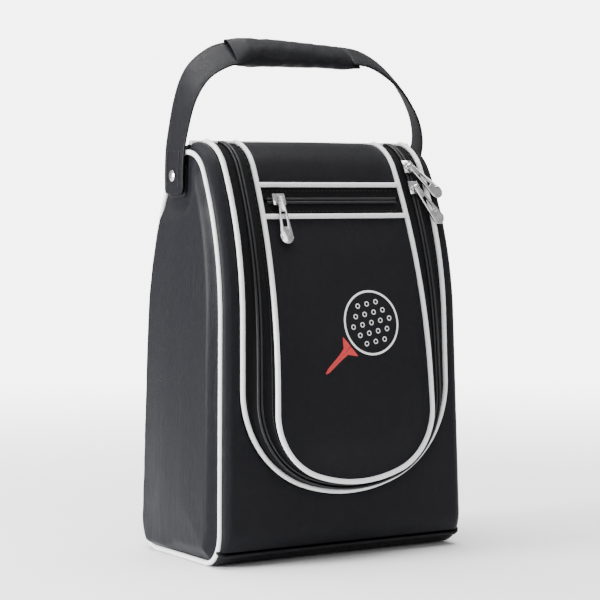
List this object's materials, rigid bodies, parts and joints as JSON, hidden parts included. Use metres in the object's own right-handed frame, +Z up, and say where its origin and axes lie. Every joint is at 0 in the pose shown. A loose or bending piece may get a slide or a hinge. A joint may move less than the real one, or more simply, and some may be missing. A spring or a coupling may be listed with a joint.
{
  "type": "golf shoe bag",
  "caption": "Upright leathercloth golf shoe bag with a U-zip front flap, zipped flap pocket, white piping and a strap handle with rolled grip.",
  "frame": {"origin": "on the floor under the middle of the bag, midway between its side panels and midway between its front and back walls", "axes": "+X to the right facing the flap, +Y to the back, +Z up"},
  "size_m": [0.223, 0.1516, 0.4],
  "materials": {
    "leathercloth": "fine-grained, semi-matt",
    "strap_leathercloth": "fine-grained, stitched edges",
    "white_piping": "smooth satin",
    "black_welt": "smooth satin",
    "zip_tape": "herringbone woven tape",
    "zip_coil": "nylon coil",
    "nickel": "bright nickel plate",
    "lining": "plain woven lining",
    "board": "stiffening board",
    "foam": "soft foam"
  },
  "bodies": {
    "bag": {"front_panel": "leathercloth", "back_panel": "leathercloth", "bottom_panel": "leathercloth", "base_board": "board", "side_panel_left": "leathercloth", "side_panel_right": "leathercloth", "side_piping_left": "white_piping", "side_piping_right": "white_piping", "handle_chape_left": "strap_leathercloth", "handle_chape_right": "strap_leathercloth", "rivet_left": "nickel", "rivet_right": "nickel", "crown_piping": "white_piping", "foot_welt_front": "black_welt", "foot_welt_back": "black_welt", "main_piping": "white_piping", "zip_coil_outer": "zip_coil", "zip_tape_outer": "zip_tape"},
    "flap": {"flap_piping": "white_piping", "flap_top_panel": "leathercloth", "flap_pocket_panel": "leathercloth", "flap_lining": "lining", "pocket_piping_lower": "white_piping", "pocket_piping_upper": "white_piping", "pocket_tape_lower": "zip_tape", "pocket_tape_upper": "zip_tape", "pocket_coil_lower": "zip_coil", "pocket_coil_upper": "zip_coil", "zip_coil_inner": "zip_coil", "zip_tape_inner": "zip_tape"},
    "upper_slider": {"upper_slider": "nickel"},
    "upper_pull": {"upper_pull": "nickel"},
    "lower_slider": {"lower_slider": "nickel"},
    "lower_pull": {"lower_pull": "nickel"},
    "pocket_slider": {"pocket_slider": "nickel"},
    "pocket_pull": {"pocket_pull": "nickel"},
    "handle": {"handle_strap_left": "strap_leathercloth", "handle_strap_right": "strap_leathercloth", "grip_sleeve": "strap_leathercloth", "grip_padding": "foam"}
  },
  "joints": [
    {"name": "flap_hinge", "type": "hinge", "parent": "bag", "child": "flap", "pos_m": [0, -0.0024, 0.31992], "axis": [-1, 0, 0], "range_deg": [0, 80]},
    {"name": "upper_slider_travel", "type": "hinge", "parent": "flap", "child": "upper_slider", "pos_m": [0.07747, 0, 0.283], "axis": [-0.9997, -0.0114, -0.0213], "range_deg": [0, 30]},
    {"name": "lower_slider_travel", "type": "hinge", "parent": "flap", "child": "lower_slider", "pos_m": [0.07787, 0.26704, 0.14739], "axis": [0.9997, 0.0098, 0.0221], "range_deg": [0, 8.5]},
    {"name": "pocket_slider_travel", "type": "slide", "parent": "flap", "child": "pocket_slider", "axis": [1, 0, 0], "range_m": [0, 0.1]},
    {"name": "upper_pull_lift", "type": "hinge", "parent": "upper_slider", "child": "upper_pull", "pos_m": [0.07747, -0.03692, 0.30282], "axis": [-0.7386, -0.3188, -0.594], "range_deg": [0, 30]},
    {"name": "lower_pull_lift", "type": "hinge", "parent": "lower_slider", "child": "lower_pull", "pos_m": [0.07787, -0.04496, 0.28599], "axis": [-0.8445, -0.2175, -0.4895], "range_deg": [0, 60]},
    {"name": "pocket_pull_lift", "type": "hinge", "parent": "pocket_slider", "child": "pocket_pull", "pos_m": [-0.05, -0.0489, 0.27691], "axis": [-1, 0, 0], "range_deg": [0, 60]},
    {"name": "handle_swing", "type": "hinge", "parent": "bag", "child": "handle", "pos_m": [0, 0.014, 0.294], "axis": [1, 0, 0], "range_deg": [-75, 5]}
  ]
}
